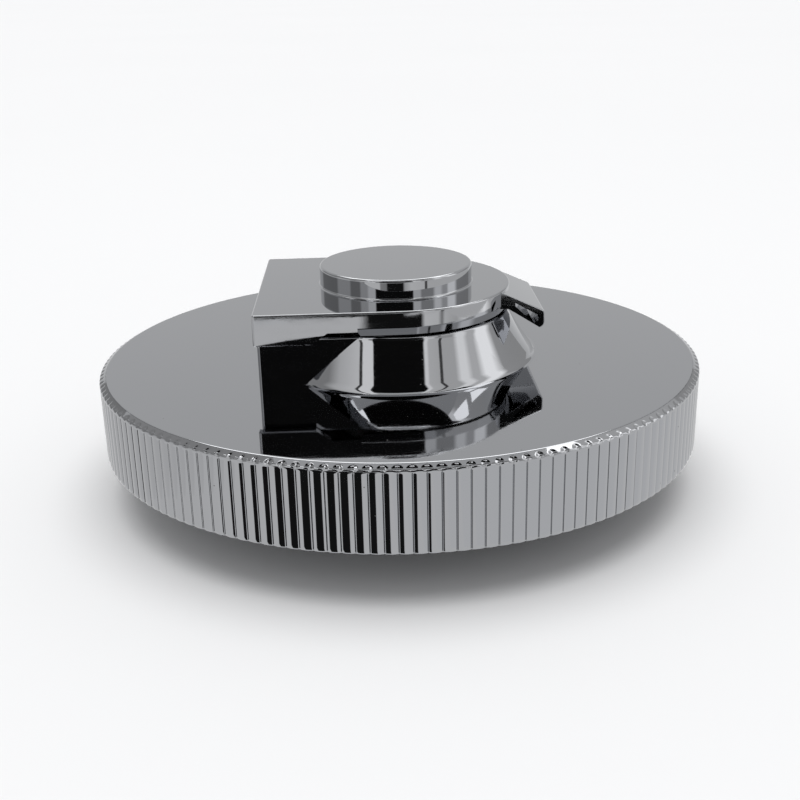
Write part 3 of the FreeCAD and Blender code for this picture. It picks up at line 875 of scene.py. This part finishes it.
# Light round the cap: (azimuth, radiance), azimuth 0 towards the camera, positive to its right
REED_LIGHT = [
    (-140, 0.7), (-100, 0.75), (-44, 0.8), (-42, 0.012), (-9, 0.012), (-7, 0.8),
    (100, 0.8), (140, 0.7),
]
WALL_LIGHT = [
    (-140, 0.7), (-51, 0.72), (-50, 0.12), (-48, 0.12), (-47, 0.78), (0.0, 0.8), (0.8, 0.01),
    (23, 0.01), (27, 0.85), (40, 0.8), (44, 0.3), (47, 0.75), (60, 0.6), (74, 1.3), (84, 0.7),
    (96, 1.4), (106, 0.6), (140, 0.7),
]
DOME_LIGHT = [
    (-140, 0.6), (-51, 0.72), (-50, 0.12), (-47, 0.12), (-46, 0.8), (-24, 0.8), (-22, 0.35),
    (-14, 0.3), (-12, 0.01), (10, 0.01), (13, 0.55), (22, 0.8), (42, 0.75), (43, 0.12),
    (46, 0.12), (47, 0.7), (100, 0.7), (140, 0.6),
]
LOW_LIGHT = [
    (-140, 0.3), (-98, 0.3), (-94, 0.6), (-72, 0.6), (-69, 0.3), (-55, 0.3), (-52, 0.65),
    (-43, 0.65), (-40, 1.0), (-31, 1.0), (-29, 0.01), (24, 0.01), (26, 1.0), (35, 1.0),
    (38, 0.5), (55, 0.5), (60, 1.2), (68, 1.2), (73, 0.75), (80, 0.75), (84, 1.5), (96, 1.5),
    (103, 0.5), (140, 0.4),
]
HIGH_LEFT = [
    (-128, 0.4), (-100, 0.35), (-70, 0.35), (-60, 0.7), (-41, 0.9), (-40, 0.06), (-38, 0.06),
    (-37, 1.1), (-27, 1.1),
]
HIGH_FRONT = [(-27, 1.1), (-26, 0.006), (25, 0.006), (27, 1.1)]
HIGH_RIGHT = [
    (27, 1.1), (29, 1.1), (31, 0.75), (41, 0.7), (42, 0.08), (44, 0.08), (45, 0.65), (57, 0.65),
    (62, 1.2), (68, 1.2), (73, 0.75), (79, 0.75), (85, 1.5), (94, 1.5), (103, 0.7), (128, 0.6),
]

# Cards round the cap: light, lowest and highest edge. The heights below zero are met by reflections
# of the upright walls, since the floor doesn't show in reflections
BANDS = {
    "reeds": (REED_LIGHT, -400, -75),
    "wall": (WALL_LIGHT, -75, -47.5),
    "dome": (DOME_LIGHT, -47.5, -10),
    "low": (LOW_LIGHT, 45, 153),
    "high left": (HIGH_LEFT, 153, 640),
    "high front": (HIGH_FRONT, 153, 403),
    "high right": (HIGH_RIGHT, 153, 640),
}

# Cards over the cap: middle x and y, half lengths along x and y, height
BLACK_CARDS = {"top": (0, -62, 260, 50, 320.0)}
WHITE_CARDS = {
    "edge": (0, -116, 120, 5, 319.0),
    "left": (-119, -39, 22, 26, 310.0),
    "right": (171, 33, 24, 30, 290.0),
    "back": (0, 215, 200, 115, 340.0),
}
black_level = 0.004
white_level = 2.6
floor_half = 20000.0
world_below = 0.79
world_above = 0.6
horizon_blend = 0.2
sun_energy = 1.7
sun_spread = 60.0


def curved_card(levels, z0, z1):
    """Upright card on a cylinder about the cap, with its level of light at each azimuth."""
    bm = bmesh.new()
    layer = bm.verts.layers.float.new("level")
    columns = []
    for azimuth, level in levels:
        a = math.radians(azimuth) + view_turn
        column = []
        for z in (z0, z1):
            vert = bm.verts.new((card_r * math.sin(a), -card_r * math.cos(a), z))
            vert[layer] = level
            column.append(vert)
        columns.append(column)
    for a, b in zip(columns, columns[1:]):
        bm.faces.new((a[0], b[0], b[1], a[1]))
    mesh = bpy.data.meshes.new("card")
    bm.to_mesh(mesh)
    bm.free()
    return mesh


def flat_card(x, y, half_x, half_y, z):
    """Card that lies flat, from a place in the camera's own left and right."""
    turn = Matrix.Rotation(view_turn, 3, "Z")
    left, right = x - half_x, x + half_x
    near, far = y - half_y, y + half_y

    def build(bm):
        corners = ((left, near), (right, near), (right, far), (left, far))
        bm.faces.new([bm.verts.new(turn @ Vector((cx, cy, z))) for cx, cy in corners])

    return solid(build)


def make_stage():
    def plane(bm):
        bmesh.ops.create_grid(bm, x_segments=1, y_segments=1, size=floor_half)

    floor = stage_object("floor", solid(plane), floor_material())
    floor.visible_glossy = False
    varied = varied_glow()
    for name, (levels, z0, z1) in BANDS.items():
        card(name, curved_card(levels, z0, z1), varied)
    black = glow("black card", black_level)
    for name, place in BLACK_CARDS.items():
        card(name, flat_card(*place), black)
    white = glow("white card", white_level)
    for name, place in WHITE_CARDS.items():
        card(name, flat_card(*place), white)
    lamp = bpy.data.lights.new("soft sun", "SUN")
    lamp.energy = sun_energy
    lamp.angle = math.radians(sun_spread)
    sun = bpy.data.objects.new("soft sun", lamp)
    sun.visible_glossy = False
    bpy.context.scene.collection.objects.link(sun)


def make_world():
    """Even grey surroundings, a little darker overhead."""
    world = bpy.data.worlds.new("studio")
    bpy.context.scene.world = world
    world.use_nodes = True
    nodes = world.node_tree.nodes
    links = world.node_tree.links
    place = nodes.new("ShaderNodeTexCoord")
    split = nodes.new("ShaderNodeSeparateXYZ")
    level = nodes.new("ShaderNodeMapRange")
    level.interpolation_type = "SMOOTHSTEP"
    for key, number in (
        ("From Min", -horizon_blend),
        ("From Max", horizon_blend),
        ("To Min", world_below),
        ("To Max", world_above),
    ):
        level.inputs[key].default_value = number
    links.new(place.outputs["Generated"], split.inputs[0])
    links.new(split.outputs["Z"], level.inputs["Value"])
    background = nodes["Background"]
    background.inputs["Color"].default_value = (0.985, 0.992, 1.0, 1)
    links.new(level.outputs["Result"], background.inputs["Strength"])
    bpy.context.scene.view_settings.view_transform = "Standard"


# Camera: its distances are in shell radii from the middle of the top
camera_lens = 51.14
camera_away = 3.7135
camera_up = 1.1895
camera_pitch = math.radians(20.335)
camera_roll = math.radians(1.3426)


def make_camera():
    """Camera in front of the cap and a little above it."""
    camera = bpy.data.cameras.new("camera")
    camera.sensor_width = 36.0
    camera.lens = camera_lens
    camera.clip_start = 0.005
    obj = bpy.data.objects.new("camera", camera)
    bpy.context.scene.collection.objects.link(obj)
    radius = shell_r * MM
    pitch = Matrix.Rotation(math.pi / 2 - camera_pitch, 4, "X")
    aim = pitch @ Matrix.Rotation(-camera_roll, 4, "Z")
    place = Matrix.Translation((0.0, -camera_away * radius, camera_up * radius))
    centre = Matrix.Translation((0, 0, top_z * MM))
    obj.matrix_world = centre @ Matrix.Rotation(view_turn, 4, "Z") @ place @ aim
    bpy.context.scene.camera = obj


make_camera()
make_world()
make_stage()
make_shell()
make_boss()
make_lid()
dress_nodes()

bpy.context.view_layer.update()
